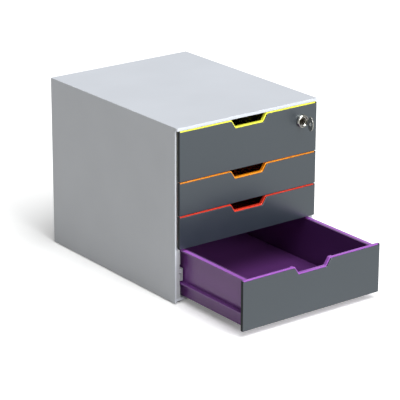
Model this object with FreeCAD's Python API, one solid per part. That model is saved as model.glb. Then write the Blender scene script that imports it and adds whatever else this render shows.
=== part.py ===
"""Desktop drawer box: a moulded housing with four drawers that hang on grooved runner panels.

Millimetres, +X to the right, +Y to the back, +Z up. The origin is on the desk, in the middle
of the housing's footprint. The bottom drawer stands pulled out, the other three are closed.
"""
import FreeCAD, Part
import math
import os

V = FreeCAD.Vector
X_AXIS, Y_AXIS, Z_AXIS = V(1, 0, 0), V(0, 1, 0), V(0, 0, 1)

# --- Driving dimensions: housing ---------------------------------------------------------
housing_width = 280.0        # over the side walls
housing_depth = 348.0        # side walls, front edge to rear edge
housing_wall = 3.0           # side walls
roof_thickness = 3.5
eave_reach = 6.0             # how far the roof stands out over the fronts
eave_height = 5.0            # height of the eave's front face
eave_nose = 4.5              # depth of the thick part of the eave, front to back
eave_corner = 3.0            # plan radius of the eave's front corners
edge_round = 0.8             # small radius on the housing's long outer edges
foot_standout = 1.5          # housing's lower edge above the desk
base_height = 7.5            # housing's lower edge to the top of the base plate
base_recess = 3.0            # underside of the base plate above the housing's lower edge
base_sheet = 2.5
base_rib = 2.0
base_setback = 0.8           # base plate's front bar behind the side walls' front edges
ledge = 2.0                  # inner ledges that carry the base plate and the back panel
back_sheet = 2.5
back_rim = 5.0               # depth of the back panel's stiffening rim
fit_gap = 0.2                # assembly gap between moulded pieces that don't move
past = 1.0                   # how far a cutting shape runs past the face that it opens

# --- Driving dimensions: drawer pitch and runners ----------------------------------------
module = 55.5                # height of a one-module drawer bay
bay_modules = (1.5, 1.0, 1.0, 1.5)          # from the bottom drawer to the top one
bay_names = ("bottom", "third", "second", "top")
eave_gap = 0.5               # top drawer's lip below the eave
runner_level = 24.5          # middle of a drawer's runner flange above its bay
runner_flange = 3.0          # thickness of the runner and rim flanges
runner_play = 0.3            # flange above the groove floor that carries it
groove_play = 1.5            # flange below the groove's upper side
side_play = 1.0              # flange tip to groove bottom
panel_depth = 12.5           # runner panel, housing wall to the face of its blocks
groove_depth = 6.0
panel_sheet = 2.0            # moulded wall of the panel's hollow blocks
panel_setback = 0.6          # panel's front end behind the side wall's front edge
block_edge = 1.2             # chamfer along the blocks' edges
block_step = 5.0             # front ends of the blocks without a latch step back this deep
block_step_length = 12.0     # and this far from the panel's front end
mouth_depth = 9.0            # flared lead-in at the front of each groove
mouth_flare = 1.4
pocket_count = 3             # hollow pockets along each block
latch_height = 12.0          # stop latch in the block over each runner groove
latch_width = 4.6
latch_slot = 1.1
latch_inset = 3.0            # latch from the face of its block
latch_lift = 2.2             # latch above the groove's ceiling
latch_depth = 6.0
tooth_length = 2.4           # stop tooth in the runner groove
tooth_gap = 0.45             # tooth above the flange that slides under it
stop_gap = 0.3               # left between stop nub and tooth at full travel

# --- Driving dimensions: drawers ---------------------------------------------------------
travel = 280.0               # from closed to the stop
pulled_out = 160.0           # the bottom drawer as it stands
tray_play = 2.5              # drawer's side walls to the faces of the runner panels' blocks
tray_wall = 2.2
tray_floor = 2.5
tray_lift = 1.2              # drawer's lower edge above its bay
floor_level = 7.3            # drawer's floor above its bay
rim_drop = 1.75              # side rim below the front's coloured lip
rear_flange = 2.0            # rim flange behind the rear wall
rear_clearance = 8.0         # drawer's rear wall to the back panel
inner_round = 3.0            # radius where the drawer's walls meet its floor
skirt_rib = 1.6
nub_setback = 16.0           # stop nub's front face ahead of the drawer's rear wall
nub_length = 4.0
nub_height = 1.1

# --- Driving dimensions: drawer fronts ---------------------------------------------------
front_standout = 8.0         # face of the fronts ahead of the side walls' front edges
front_inset = 3.2            # fronts inside the housing's outer sides
front_gap = 1.7              # gap between one front and the next
cover_sheet = 2.0
cover_flange = 1.3           # thickness of the cover's wrapped edge
cover_wrap = 5.4             # depth of the wrapped edge, face to rear
cover_round = 1.0            # radius on the cover's long front edges
lip_bevel = 0.4              # bevel on its top edge and notch
front_sheet = 2.0            # coloured front wall behind the cover
lip_reveal = 1.8             # coloured lip that shows over the cover
lip_depth = 3.5              # stiffening rim of the coloured front wall
ledge_depth = 5.6            # deeper rim along the finger notch
notch_top = 70.0             # width of the finger notch at the lip
notch_bottom = 54.0
notch_depth = 12.5
notch_round = 3.0

# --- Driving dimensions: lock and key ----------------------------------------------------
lock_from_side = 34.0        # lock axis from the housing's right side
lock_below_lip = 26.5
bezel_radius = 11.0
bezel_height = 5.0
barrel_radius = 9.0
barrel_flats = 15.6          # across the barrel's two flats
barrel_length = 19.0         # behind the cover's face
plug_radius = 6.0
plug_play = 0.06             # running fit of the plug in the barrel
plug_dish = 0.5              # shallow dish in the plug's face
plug_rim = 1.2               # width of the rim round the dish, and of the bezel's inner land
nut_across = 22.0
nut_height = 4.0
nut_play = 0.1
nut_corner = 0.5
cam_reach = 26.0             # lock axis to the cam's tip
cam_width = 11.0
cam_sheet = 2.0
cam_square = 5.0
cam_gap = 0.5                # cam behind the barrel's rear end
cam_corner = 2.5
catch_gap = 0.5              # cam behind the catch
catch_width = 24.0
catch_drop = 8.5             # catch below the roof
catch_sheet = 2.0
catch_flange = 11.0
screw_radius = 1.2
screw_head = 2.6
screw_bite = 2.0
cam_screw_head = 4.2         # radius of the cam screw's head
cam_screw_height = 1.8
cross_long = 2.0             # half length and half width of its cross recess
cross_wide = 0.4
cross_depth = 0.8
head_chamfer = 0.6
key_sheet = 1.8
key_blade = 6.6              # height of the blade
key_depth = 15.0             # blade inside the plug
key_play = 0.1
bow_width = 13.5
bow_height = 23.5
bow_centre = 22.0            # in front of the cover's face
bow_hole = 3.0
bow_rim = 2.0                # metal left round the hole at the front of the bow
cut_pitch = 3.0
cut_half = 1.3               # half width of one cut in the blade
key_cuts = (1.2, 2.0, 0.8, 1.6)

# --- Driving dimensions: rubber feet -----------------------------------------------------
foot_radius = 8.0
foot_inset = 14.0            # foot axis from the housing's sides and ends
foot_seat = 1.0              # depth of the round recess that each foot sits in
foot_seat_wall = 1.5
foot_chamfer = 0.8

# --- Places worked out from the driving dimensions ---------------------------------------
half_width = housing_width / 2
wall_inner = half_width - housing_wall
front_edge = -housing_depth / 2
rear_edge = housing_depth / 2
shell_low = foot_standout
base_top = shell_low + base_height
base_low = shell_low + base_recess
bays_top = base_top + module * sum(bay_modules)
eave_low = bays_top + eave_gap
roof_top = eave_low + eave_height
roof_low = roof_top - roof_thickness
back_front = rear_edge - back_sheet
panel_face = wall_inner - panel_depth
groove_bottom = panel_face + groove_depth
panel_front = front_edge + panel_setback
panel_rear = back_front - back_rim - fit_gap
tray_half = panel_face - tray_play
flange_tip = groove_bottom - side_play
cover_face = front_edge - front_standout
cover_back = cover_face + cover_sheet
front_back = cover_back + front_sheet
tray_rear = back_front - rear_clearance
nub_front = tray_rear - nub_setback
tooth_rear = nub_front - travel - stop_gap
cover_half = half_width - front_inset
front_half = cover_half - cover_flange - fit_gap
lock_x = half_width - lock_from_side
lock_z = bays_top - lock_below_lip
barrel_rear = cover_face + barrel_length
cam_front = barrel_rear + cam_gap
groove_pitch = module / 2
groove_count = int(round(sum(bay_modules) * 2))


# --- Helpers -----------------------------------------------------------------------------
def box(x0, x1, y0, y1, z0, z1):
    """A box between two corners."""
    return Part.makeBox(x1 - x0, y1 - y0, z1 - z0, V(x0, y0, z0))


def rod(radius, y0, y1, x=0.0, z=0.0):
    """A cylinder along Y."""
    return Part.makeCylinder(radius, y1 - y0, V(x, y0, z), V(0, 1, 0))


def post(radius, z0, z1, x, y):
    """A cylinder along Z."""
    return Part.makeCylinder(radius, z1 - z0, V(x, y, z0), V(0, 0, 1))


def rounded_wire(corners):
    """A closed wire through (point, radius) corners, with an arc at each corner that has a radius."""
    edges = []
    ends = []
    count = len(corners)
    for i, (point, radius) in enumerate(corners):
        before = (corners[i - 1][0] - point).normalize()
        after = (corners[(i + 1) % count][0] - point).normalize()
        if radius <= 0:
            ends.append((point, point))
            continue
        half_angle = before.getAngle(after) / 2
        run = radius / math.tan(half_angle)
        middle = (before + after).normalize()
        centre = point + middle * (radius / math.sin(half_angle))
        start = point + before * run
        end = point + after * run
        edges.append(Part.Arc(start, centre - middle * radius, end).toShape())
        ends.append((start, end))
    for i in range(count):
        start = ends[i][1]
        end = ends[(i + 1) % count][0]
        if start.distanceToPoint(end) > 1e-6:
            edges.append(Part.makeLine(start, end))
    return Part.Wire(Part.__sortEdges__(edges))


def plate_y(corners, y0, y1):
    """A plate between y0 and y1 from (x, z, radius) corners."""
    wire = rounded_wire([(V(x, y0, z), radius) for x, z, radius in corners])
    return Part.Face(wire).extrude(V(0, y1 - y0, 0))


def along_x(outline, x0, x1):
    """A bar between x0 and x1 from (y, z) points."""
    wire = Part.makePolygon([V(x0, y, z) for y, z in outline + outline[:1]])
    return Part.Face(wire).extrude(V(x1 - x0, 0, 0))


def turned(outline, x, y, z):
    """A ring or disc turned about the Y axis through (x, y, z) from (radius, forward) points."""
    points = [V(x + radius, y - forward, z) for radius, forward in outline]
    face = Part.Face(Part.makePolygon(points + points[:1]))
    return face.revolve(V(x, y, z), V(0, 1, 0), 360)


def fuse(first, *others):
    """One clean solid out of touching ones."""
    return first.multiFuse(list(others)).removeSplitter()


def cut(first, *others):
    """The first shape without the others."""
    return first.cut(Part.makeCompound(list(others))).removeSplitter()


def mirror_x(shape):
    """The shape's mirror image on the other side of the housing."""
    return shape.mirror(V(0, 0, 0), V(1, 0, 0))


def edges_where(shape, keep, along=None):
    """Edges whose every vertex passes a test, if wanted only the straight ones along an axis."""
    found = [e for e in shape.Edges if all(keep(v.Point) for v in e.Vertexes)]
    if along is None:
        return found
    return [e for e in found if len(e.Vertexes) == 2 and is_along(e, along)]


def is_along(edge, axis):
    run = edge.Vertexes[1].Point - edge.Vertexes[0].Point
    return run.Length > 1e-6 and near(abs(run.normalize().dot(axis)), 1)


def near(value, target):
    return abs(value - target) < 1e-4


def bay_low(index):
    """Bottom of a bay, counted from the lowest drawer."""
    return base_top + module * sum(bay_modules[:index])


def bay_high(index):
    return bay_low(index) + module * bay_modules[index]


def runner_z(index):
    """Middle height of a drawer's runner flange."""
    return bay_low(index) + runner_level


def groove_z(number):
    """Middle height that a flange has in a groove, counted from the lowest groove."""
    return base_top + runner_level + groove_pitch * number


# --- Housing -----------------------------------------------------------------------------
def housing_shell():
    """Both side walls and the roof, moulded in one, with the eave over the fronts."""
    block = box(-half_width, half_width, front_edge, rear_edge, shell_low, roof_top)
    room = box(-wall_inner, wall_inner, front_edge - past, rear_edge + past, shell_low - past, roof_low)
    eave_front = front_edge - eave_reach
    nose_rear = eave_front + eave_nose
    ramp = eave_height - roof_thickness
    eave = along_x(
        [(eave_front, eave_low), (nose_rear, eave_low), (nose_rear + ramp, roof_low),
         (nose_rear + ramp + past, roof_top), (eave_front, roof_top)],
        -half_width, half_width,
    )
    corners = edges_where(eave, lambda p: near(p.y, eave_front), Z_AXIS)
    eave = eave.makeFillet(eave_corner, corners)
    shell = fuse(block.cut(room), eave)
    shell = shell.makeFillet(edge_round, edges_where(shell, lambda p: near(p.z, roof_top), Y_AXIS))
    ledges = []
    for side in (-1, 1):
        x0, x1 = sorted((side * wall_inner, side * (wall_inner - ledge)))
        ledges.append(box(x0, x1, front_edge + base_setback, rear_edge - base_setback,
                          base_low - ledge, base_low))
        ledges.append(box(x0, x1, panel_rear + fit_gap, back_front, base_top, roof_low))
    ledges.append(box(-wall_inner, wall_inner, back_front - ledge, back_front, roof_low - ledge, roof_low))
    shell = fuse(shell, *ledges)
    return cut(shell, *catch_screw_holes())


def catch_screw_places():
    """Axes of the two screws that hold the lock's catch to the roof."""
    y = catch_front() - catch_flange / 2 + catch_sheet
    return [(lock_x - catch_width / 4, y), (lock_x + catch_width / 4, y)]


def catch_screw_holes():
    return [post(screw_radius, roof_low - past, roof_low + screw_bite, x, y) for x, y in catch_screw_places()]


def base_plate():
    """Ribbed plate between the side walls, standing on the shell's inner ledges."""
    half = wall_inner - fit_gap
    y0 = front_edge + base_setback
    y1 = rear_edge - base_setback
    plate = box(-half, half, y0, y1, base_low, base_top)
    hollows = []
    columns, rows = 4, 4
    step_x = (2 * half - base_rib) / columns
    step_y = (y1 - y0 - base_rib) / rows
    for i in range(columns):
        for j in range(rows):
            x = -half + base_rib + i * step_x
            y = y0 + base_rib + j * step_y
            hollows.append(box(x, x + step_x - base_rib, y, y + step_y - base_rib,
                               base_low - past, base_top - base_sheet))
    plate = plate.cut(Part.makeCompound(hollows))
    pad = foot_radius + foot_seat_wall
    seat = foot_radius + fit_gap
    bosses = [box(x - pad, x + pad, y - pad, y + pad, base_low, base_top - base_sheet)
              for x, y in foot_places()]
    seats = [post(seat, base_low - past, base_low + foot_seat, x, y) for x, y in foot_places()]
    return cut(fuse(plate, *bosses), *seats)


def back_panel():
    """Rear panel with a stiffening rim, set in the shell against its ledges."""
    half = wall_inner - fit_gap
    low = base_top
    high = roof_low - fit_gap
    panel = box(-half, half, back_front, rear_edge, low, high)
    rim_half = half - ledge
    rim = box(-rim_half, rim_half, back_front - back_rim, back_front, low, high - ledge)
    inner = box(-rim_half + back_sheet, rim_half - back_sheet, back_front - back_rim - past, back_front,
                low + back_sheet, high - ledge - back_sheet)
    return fuse(panel, rim.cut(inner))


# --- Runner panels -----------------------------------------------------------------------
def groove_span(number):
    """Floor and ceiling of a groove."""
    middle = groove_z(number)
    return middle - runner_flange / 2 - runner_play, middle + runner_flange / 2 + groove_play


def panel_section():
    """Outline (x, z) of the right-hand panel: blocks with chamfered edges between the grooves."""
    points = [(wall_inner, base_top), (panel_face, base_top)]
    for number in range(groove_count):
        floor, ceiling = groove_span(number)
        points += [
            (panel_face, floor - block_edge), (panel_face + block_edge, floor), (groove_bottom, floor),
            (groove_bottom, ceiling), (panel_face + block_edge, ceiling), (panel_face, ceiling + block_edge),
        ]
    points += [(panel_face, roof_low), (wall_inner, roof_low)]
    return points


def block_pockets():
    """Hollows behind the blocks, open to the side wall, with a rib between each two."""
    lows = [base_top] + [groove_span(n)[1] for n in range(groove_count - 1)]
    highs = [groove_span(n)[0] for n in range(groove_count)]
    run = (panel_rear - panel_front - panel_sheet) / pocket_count
    pockets = []
    for low, high in zip(lows, highs):
        for i in range(pocket_count):
            y0 = panel_front + panel_sheet + i * run
            if i == 0:
                y0 += max(latch_depth, block_step_length)
            y1 = panel_front + i * run + run
            pockets.append(box(panel_face + panel_sheet, wall_inner + past, y0, y1,
                               low + panel_sheet, high - panel_sheet))
    return pockets


def groove_mouth(number):
    """Flared lead-in that guides a flange into its groove."""
    floor, ceiling = groove_span(number)
    outline = [(panel_front, floor - mouth_flare), (panel_front + mouth_depth, floor),
               (panel_front + mouth_depth, ceiling), (panel_front, ceiling + mouth_flare)]
    return along_x(outline, panel_face - past, groove_bottom)


def block_steps(latched):
    """Clearances that step back the front ends of the blocks that carry no stop latch."""
    lows = [base_top] + [groove_span(n)[1] for n in range(groove_count)]
    highs = [groove_span(n)[0] for n in range(groove_count)] + [roof_low]
    return [box(panel_face - past, panel_face + block_step, panel_front - past, panel_front + block_step_length,
                low, high)
            for above, (low, high) in enumerate(zip(lows, highs)) if above - 1 not in latched]


def stop_latch_slot(number):
    """U-shaped slot round the latch tongue in the block over a runner groove."""
    low = groove_span(number)[1] + latch_lift
    x0 = panel_face + latch_inset
    x1 = x0 + latch_width
    pocket = box(x0, x1, panel_front - past, panel_front + latch_depth, low, low + latch_height)
    tongue = box(x0 + latch_slot, x1 + past, panel_front, panel_front + latch_depth,
                 low + latch_slot, low + latch_height - latch_slot)
    return pocket.cut(tongue)


def stop_tooth(number):
    """Tooth under the groove's ceiling that a drawer's stop nub meets at full travel."""
    middle = groove_z(number)
    ceiling = groove_span(number)[1]
    return box(panel_face + block_edge, groove_bottom, tooth_rear - tooth_length, tooth_rear,
               middle + runner_flange / 2 + tooth_gap, ceiling)


def bay_groove(index):
    """Number of the groove that carries a drawer's runner flange."""
    return int(round(sum(bay_modules[:index]) * 2))


def runner_panel():
    """Right-hand runner panel with a groove at every half module."""
    wire = Part.makePolygon([V(x, panel_front, z) for x, z in panel_section() + panel_section()[:1]])
    panel = Part.Face(wire).extrude(V(0, panel_rear - panel_front, 0))
    runner_grooves = [bay_groove(i) for i in range(len(bay_modules))]
    tools = block_pockets() + block_steps(runner_grooves)
    tools += [groove_mouth(n) for n in range(groove_count)]
    tools += [stop_latch_slot(n) for n in runner_grooves]
    panel = panel.cut(Part.makeCompound(tools))
    return fuse(panel, *[stop_tooth(n) for n in runner_grooves])


# --- Feet --------------------------------------------------------------------------------
def foot_places():
    """Axes of the four feet, front pair first."""
    x = half_width - foot_inset
    y = rear_edge - foot_inset
    return [(-x, -y), (x, -y), (-x, y), (x, y)]


def rubber_foot(x, y):
    """Round foot with a chamfered sole, stuck in its recess in the base plate."""
    disc = post(foot_radius, 0, base_low + foot_seat, x, y)
    return disc.makeChamfer(foot_chamfer, edges_where(disc, lambda p: near(p.z, 0)))


# --- Drawers -----------------------------------------------------------------------------
def front_outline(half, low, high, inset, end_tip=0.0):
    """Corners (x, z, radius) of a front with its finger notch, its top lowered by an inset.

    The notch widens by inset * tan(slope / 2) on each side, so that the band between two
    outlines is as wide on the slanted sides as it is on the level edges. With an end tip,
    both ends rise to the full height over that width.
    """
    slope = math.atan2(notch_depth, (notch_top - notch_bottom) / 2)
    grow = inset * math.tan(slope / 2)
    upper = notch_top / 2 + grow
    lower = notch_bottom / 2 + grow
    edge = high - inset
    floor = edge - notch_depth
    left = [(-half, low, 0), (-half, high, 0), (-half + end_tip, high, 0), (-half + end_tip, edge, 0)]
    if end_tip <= 0:
        left = [(-half, low, 0), (-half, edge, 0)]
    notch = [(-upper, edge, notch_round), (-lower, floor, notch_round)]
    right = [(-x, z, r) for x, z, r in reversed(left + notch)]
    return left + notch + right


def lock_opening(y0, y1):
    """Double-D hole for the lock's barrel."""
    hole = rod(barrel_radius + fit_gap, y0, y1, lock_x, lock_z)
    flat = barrel_flats / 2 + fit_gap
    return hole.common(box(lock_x - flat, lock_x + flat, y0, y1,
                           lock_z - bezel_radius, lock_z + bezel_radius))


def front_cover(index):
    """Front cover: a plate with a notch, wrapped round the coloured front wall on three sides."""
    low = bay_low(index) + front_gap
    high = bay_high(index)
    plate = plate_y(front_outline(cover_half, low, high, lip_reveal, cover_flange), cover_face, cover_back)
    sides = edges_where(plate, lambda p: near(p.y, cover_face) and near(abs(p.x), cover_half), Z_AXIS)
    foot = edges_where(plate, lambda p: near(p.y, cover_face) and near(p.z, low), X_AXIS)
    plate = plate.makeFillet(cover_round, sides + foot)
    edge = high - lip_reveal
    notch_floor = edge - notch_depth - 1e-4
    upper = edges_where(plate, lambda p: near(p.y, cover_face) and notch_floor < p.z < edge + 1e-4)
    plate = plate.makeChamfer(lip_bevel, upper)
    frame = box(-cover_half, cover_half, cover_back, cover_face + cover_wrap, low, high)
    inner = box(-cover_half + cover_flange, cover_half - cover_flange, cover_back - past,
                cover_face + cover_wrap + past, low + cover_flange, high + past)
    cover = fuse(plate, frame.cut(inner))
    if bay_names[index] == "top":
        cover = cut(cover, lock_opening(cover_face - past, cover_back + past))
    return cover


def front_low(index):
    """Lower edge of a drawer's coloured front wall, just inside the cover's wrapped edge."""
    return bay_low(index) + front_gap + cover_flange + fit_gap


def coloured_front(index):
    """Drawer's own front wall: a plate with a rim round it that is deeper along the notch."""
    low = front_low(index)
    high = bay_high(index)
    plate = plate_y(front_outline(front_half, low, high, 0), cover_back, front_back)
    rim_rear = cover_back + lip_depth
    rim = plate_y(front_outline(front_half, low, high, 0), front_back, rim_rear)
    inner = plate_y(front_outline(front_half - lip_reveal, low + lip_reveal, high, lip_reveal),
                    front_back - past, cover_back + ledge_depth + past)
    deep = plate_y(front_outline(front_half, low, high, 0), rim_rear, cover_back + ledge_depth)
    reach = notch_top / 2 + 2 * notch_round
    deep = deep.common(box(-reach, reach, rim_rear, cover_back + ledge_depth,
                           high - notch_depth - lip_reveal - past, high))
    return [plate, rim.cut(inner), deep.cut(inner)]


def tray_box(index):
    """Walls and floor of a drawer, with ribs under the floor."""
    low = bay_low(index) + tray_lift
    floor = bay_low(index) + floor_level
    rim = bay_high(index) - rim_drop
    walls = box(-tray_half, tray_half, front_back, tray_rear, low, rim)
    inside = box(-tray_half + tray_wall, tray_half - tray_wall, front_back, tray_rear - tray_wall,
                 floor, rim + past)
    inside = inside.makeFillet(inner_round, edges_where(inside, lambda p: near(p.z, floor)))
    under = box(-tray_half + tray_wall, tray_half - tray_wall, front_back, tray_rear - tray_wall,
                low - past, floor - tray_floor)
    tray = walls.cut(Part.makeCompound([inside, under]))
    ribs = [box(-skirt_rib / 2, skirt_rib / 2, front_back, tray_rear - tray_wall, low, floor - tray_floor)]
    for share in (0.25, 0.5, 0.75):
        y = front_back + share * (tray_rear - front_back)
        ribs.append(box(-tray_half + tray_wall, tray_half - tray_wall, y - skirt_rib / 2, y + skirt_rib / 2,
                        low, floor - tray_floor))
    relief = box(-tray_half - past, tray_half + past, front_back - past, cover_face + cover_wrap + fit_gap,
                 low - past, front_low(index))
    return cut(fuse(tray, *ribs), relief)


def tray_flanges(index):
    """Rim and runner flanges on both sides, with a stop nub near the rear of each runner."""
    rim = bay_high(index) - rim_drop
    middle = runner_z(index)
    right = []
    for low in (rim - runner_flange, middle - runner_flange / 2):
        flange = box(tray_half, flange_tip, front_back, tray_rear, low, low + runner_flange)
        tip = edges_where(flange, lambda p: near(p.x, flange_tip) and near(p.y, tray_rear), Z_AXIS)
        right.append(flange.makeFillet((flange_tip - tray_half) * 0.7, tip))
    nub = box(tray_half, flange_tip - side_play, nub_front, nub_front + nub_length,
              middle + runner_flange / 2, middle + runner_flange / 2 + nub_height)
    top = middle + runner_flange / 2 + nub_height
    ramp = edges_where(nub, lambda p: near(p.y, nub_front + nub_length) and near(p.z, top), X_AXIS)
    right.append(nub.makeChamfer(nub_height * 0.8, ramp))
    rear = box(-tray_half, tray_half, tray_rear, tray_rear + rear_flange, rim - runner_flange, rim)
    return right + [mirror_x(s) for s in right] + [rear]


def drawer_tray(index):
    """One-piece coloured drawer: box, flanges and front wall."""
    parts = tray_flanges(index) + coloured_front(index)
    tray = fuse(tray_box(index), *parts)
    if bay_names[index] == "top":
        tray = cut(tray, lock_opening(cover_back - past, front_back + past))
    return tray


# --- Lock and key ------------------------------------------------------------------------
def lock_housing():
    """Barrel with two flats and a domed bezel, bored for the plug."""
    bore = plug_radius + plug_play
    steps = 5
    dome = [(bezel_radius, 0), (bezel_radius, bezel_height * 0.3)]
    for i in range(1, steps + 1):
        angle = math.pi / 2 * i / steps
        radius = bezel_radius - (bezel_radius - bore - plug_rim) * (1 - math.cos(angle))
        dome.append((radius, bezel_height * (0.3 + 0.7 * math.sin(angle))))
    dome += [(bore, bezel_height * 0.82), (bore, 0)]
    bezel = turned(dome, lock_x, cover_face, lock_z)
    barrel = rod(barrel_radius, cover_face, barrel_rear, lock_x, lock_z)
    flat = barrel_flats / 2
    barrel = barrel.common(box(lock_x - flat, lock_x + flat, cover_face, barrel_rear,
                               lock_z - bezel_radius, lock_z + bezel_radius))
    hole = rod(bore, cover_face - bezel_height - past, barrel_rear + past, lock_x, lock_z)
    return cut(fuse(bezel, barrel), hole)


def lock_nut():
    """Hexagonal nut that clamps the lock behind the front wall."""
    radius = nut_across / 2 / math.cos(math.pi / 6)
    corners = []
    for i in range(6):
        angle = math.pi / 3 * i + math.pi / 6
        corners.append((lock_x + radius * math.cos(angle), lock_z + radius * math.sin(angle), nut_corner))
    nut = plate_y(corners, front_back, front_back + nut_height)
    hole = rod(barrel_radius + nut_play, front_back - past, front_back + nut_height + past, lock_x, lock_z)
    return nut.cut(hole)


def plug_front():
    return cover_face - bezel_height * 0.7


def lock_plug():
    """Plug with a keyway, and a square end that carries the cam."""
    body = rod(plug_radius, plug_front(), cam_front, lock_x, lock_z)
    half = cam_square / 2
    square = box(lock_x - half, lock_x + half, cam_front, cam_front + cam_sheet, lock_z - half, lock_z + half)
    slot_x = key_sheet / 2 + key_play
    slot_z = key_blade / 2 + key_play
    keyway = box(lock_x - slot_x, lock_x + slot_x, plug_front() - past, plug_front() + key_depth + plug_dish,
                 lock_z - slot_z, lock_z + slot_z)
    dish = rod(plug_radius - plug_rim, plug_front() - past, plug_front() + plug_dish, lock_x, lock_z)
    pilot = rod(screw_radius, cam_front - screw_bite, cam_front + cam_sheet + past, lock_x, lock_z)
    return cut(fuse(body, square), keyway, dish, pilot)


def lock_cam():
    """Cam: a round eye on the plug's square end and an arm that points at the middle of the drawer."""
    half = cam_width / 2
    eye = rod(half + cam_corner / 2, cam_front, cam_front + cam_sheet, lock_x, lock_z)
    corners = [(lock_x, lock_z - half, 0), (lock_x, lock_z + half, 0),
               (lock_x - cam_reach, lock_z + half, cam_corner),
               (lock_x - cam_reach, lock_z - half, cam_corner)]
    arm = plate_y(corners, cam_front, cam_front + cam_sheet)
    hole = cam_square / 2
    square = box(lock_x - hole, lock_x + hole, cam_front - past, cam_front + cam_sheet + past,
                 lock_z - hole, lock_z + hole)
    return cut(fuse(eye, arm), square)


def cam_screw():
    """Screw that holds the cam on the plug."""
    rear = cam_front + cam_sheet
    end = rear + cam_screw_height
    shank = rod(screw_radius, cam_front - screw_bite, rear, lock_x, lock_z)
    head = rod(cam_screw_head, rear, end, lock_x, lock_z)
    head = head.makeChamfer(head_chamfer, edges_where(head, lambda p: near(p.y, end)))
    cross = [box(lock_x - a, lock_x + a, end - cross_depth, end + past, lock_z - b, lock_z + b)
             for a, b in ((cross_long, cross_wide), (cross_wide, cross_long))]
    return cut(fuse(shank, head), *cross)


def key():
    """Flat key: a blade with a row of cuts, and an oval bow with a hole, in one vertical plane."""
    x0 = lock_x - key_sheet / 2
    bow_y = cover_face - bow_centre
    middle = V(x0, bow_y, lock_z)
    oval = Part.Ellipse(middle + V(0, 0, bow_height / 2), middle + V(0, bow_width / 2, 0), middle)
    bow = Part.Face(Part.Wire(oval.toShape())).extrude(V(key_sheet, 0, 0))
    tip = plug_front() + key_depth
    top = lock_z + key_blade / 2
    blade = box(x0, x0 + key_sheet, bow_y, tip, lock_z - key_blade / 2, top)
    hole_y = bow_y - bow_width / 2 + bow_hole + bow_rim
    cuts = [Part.makeCylinder(bow_hole, key_sheet + 2 * past, V(x0 - past, hole_y, lock_z), V(1, 0, 0))]
    for i, depth in enumerate(key_cuts):
        y = tip - cut_pitch * (i + 1)
        notch = [(y - cut_half, top + key_play), (y, top - depth), (y + cut_half, top + key_play)]
        cuts.append(along_x(notch, x0 - past, x0 + key_sheet + past))
    return cut(fuse(bow, blade), *cuts)


def lock_catch():
    """Steel angle under the roof that the cam turns up behind."""
    y1 = catch_front() + catch_sheet
    x0, x1 = lock_x - catch_width / 2, lock_x + catch_width / 2
    leg = box(x0, x1, catch_front(), y1, roof_low - catch_drop, roof_low)
    flange = box(x0, x1, y1 - catch_flange, y1, roof_low - catch_sheet, roof_low)
    angle = fuse(leg, flange)
    heads = []
    for x, y in catch_screw_places():
        heads.append(countersink(x, y))
        heads.append(post(screw_radius, roof_low - catch_sheet, roof_low, x, y))
    return cut(angle, *heads)


def catch_front():
    return cam_front - catch_gap - catch_sheet


def countersink(x, y):
    """Cone under a screw's flat head."""
    low = roof_low - catch_sheet
    return Part.makeCone(screw_head, screw_radius, screw_head - screw_radius, V(x, y, low), V(0, 0, 1))


def catch_screws():
    """Two countersunk screws that hold the catch."""
    screws = []
    for x, y in catch_screw_places():
        shank = post(screw_radius, roof_low - catch_sheet / 2, roof_low + screw_bite, x, y)
        screws.append(fuse(countersink(x, y), shank))
    return Part.makeCompound(screws)


# --- Pieces ------------------------------------------------------------------------------
def pieces():
    """Every piece by its name."""
    panel = runner_panel()
    found = {
        "housing_shell": housing_shell(),
        "base_plate": base_plate(),
        "back_panel": back_panel(),
        "runner_panel_right": panel,
        "runner_panel_left": mirror_x(panel),
        "lock_catch": lock_catch(),
        "catch_screws": catch_screws(),
    }
    for name, (x, y) in zip(("front_left", "front_right", "rear_left", "rear_right"), foot_places()):
        found["foot_" + name] = rubber_foot(x, y)
    for index, name in enumerate(bay_names):
        shift = V(0, -pulled_out if name == "bottom" else 0, 0)
        found["drawer_" + name] = drawer_tray(index).translated(shift)
        found["front_cover_" + name] = front_cover(index).translated(shift)
    found["lock_housing"] = lock_housing()
    found["lock_nut"] = lock_nut()
    found["lock_plug"] = lock_plug()
    found["lock_cam"] = lock_cam()
    found["cam_screw"] = cam_screw()
    found["key"] = key()
    return found


os.makedirs("parts", exist_ok=True)
for name, shape in pieces().items():
    shape.exportStep("parts/" + name + ".step")
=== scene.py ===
import math

import bmesh
import bpy
import numpy as np
from mathutils import Matrix, Vector


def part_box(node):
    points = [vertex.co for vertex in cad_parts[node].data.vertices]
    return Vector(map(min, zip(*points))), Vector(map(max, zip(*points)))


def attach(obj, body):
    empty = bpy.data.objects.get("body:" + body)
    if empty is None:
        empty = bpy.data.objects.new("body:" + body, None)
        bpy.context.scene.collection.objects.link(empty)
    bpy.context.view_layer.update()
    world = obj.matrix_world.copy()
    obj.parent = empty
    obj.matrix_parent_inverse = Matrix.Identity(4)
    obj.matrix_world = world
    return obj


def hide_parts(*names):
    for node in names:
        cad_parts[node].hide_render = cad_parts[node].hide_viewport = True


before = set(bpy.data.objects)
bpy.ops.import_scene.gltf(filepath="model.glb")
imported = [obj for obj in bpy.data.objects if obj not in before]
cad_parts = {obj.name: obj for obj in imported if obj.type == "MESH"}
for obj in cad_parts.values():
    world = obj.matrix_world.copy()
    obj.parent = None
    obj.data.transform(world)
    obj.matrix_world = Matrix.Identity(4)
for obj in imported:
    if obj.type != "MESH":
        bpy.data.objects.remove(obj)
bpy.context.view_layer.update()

# A desktop drawer box, in metres. The origin is on the desk, under the middle of the housing's
# walls, with +X to the right, +Y to the back and +Z up.

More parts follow.
